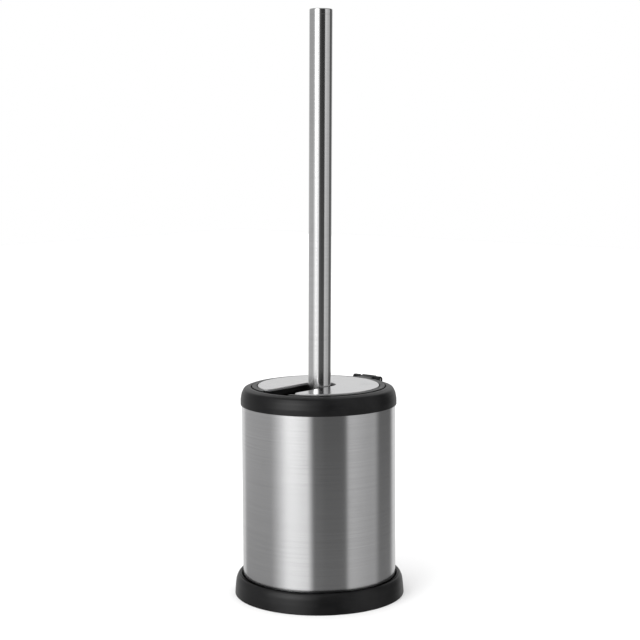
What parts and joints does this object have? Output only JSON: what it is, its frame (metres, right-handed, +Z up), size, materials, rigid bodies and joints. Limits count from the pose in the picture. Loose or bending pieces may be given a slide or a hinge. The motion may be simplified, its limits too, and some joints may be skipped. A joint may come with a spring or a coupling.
{
  "type": "toilet brush holder",
  "caption": "Free-standing toilet brush holder: steel sleeve on a round tray, hinged slotted lid, removable cup, and a brush with a straight steel handle.",
  "frame": {"origin": "centre of the footprint, on the surface that the holder stands on", "axes": "+Z up along the sleeve and the handle; the lid's slot opens towards -Y, the lid's hinge is at +Y with its axis along X"},
  "size_m": [0.1204, 0.1204, 0.408],
  "materials": {
    "black_plastic": "fine matte moulded black plastic",
    "dark_plastic": "smooth dark moulded plastic",
    "brushed_steel": "fine brushed stainless steel",
    "handle_steel": "bright satin stainless steel tube",
    "plain_steel": "plain steel fastener",
    "pad_rubber": "matte black rubber",
    "nylon_bristle": "white nylon bristle tufts"
  },
  "bodies": {
    "holder": {"base_tray": "black_plastic", "foot_pad_1": "pad_rubber", "foot_pad_2": "pad_rubber", "foot_pad_3": "pad_rubber", "foot_pad_4": "pad_rubber", "base_screw_1": "plain_steel", "base_screw_2": "plain_steel", "base_screw_3": "plain_steel", "base_screw_4": "plain_steel", "lower_ring": "dark_plastic", "outer_sleeve": "brushed_steel", "top_ring": "black_plastic", "inner_cup": "dark_plastic", "hinge_pin": "plain_steel"},
    "lid": {"lid_frame": "black_plastic", "lid_plate": "brushed_steel"},
    "brush": {"handle_tube": "handle_steel", "handle_cap": "handle_steel", "handle_plug": "dark_plastic", "head_stud": "plain_steel", "brush_core": "dark_plastic", "bristles": "nylon_bristle"}
  },
  "joints": [
    {"name": "lid_hinge", "type": "hinge", "parent": "holder", "child": "lid", "pos_m": [0, 0.0542, 0.1467], "axis": [-1, 0, 0], "range_deg": [0, 105]},
    {"name": "brush_lift", "type": "slide", "parent": "holder", "child": "brush", "axis": [0.0117, 0, 0.9999], "range_m": [0, 0.05]}
  ]
}
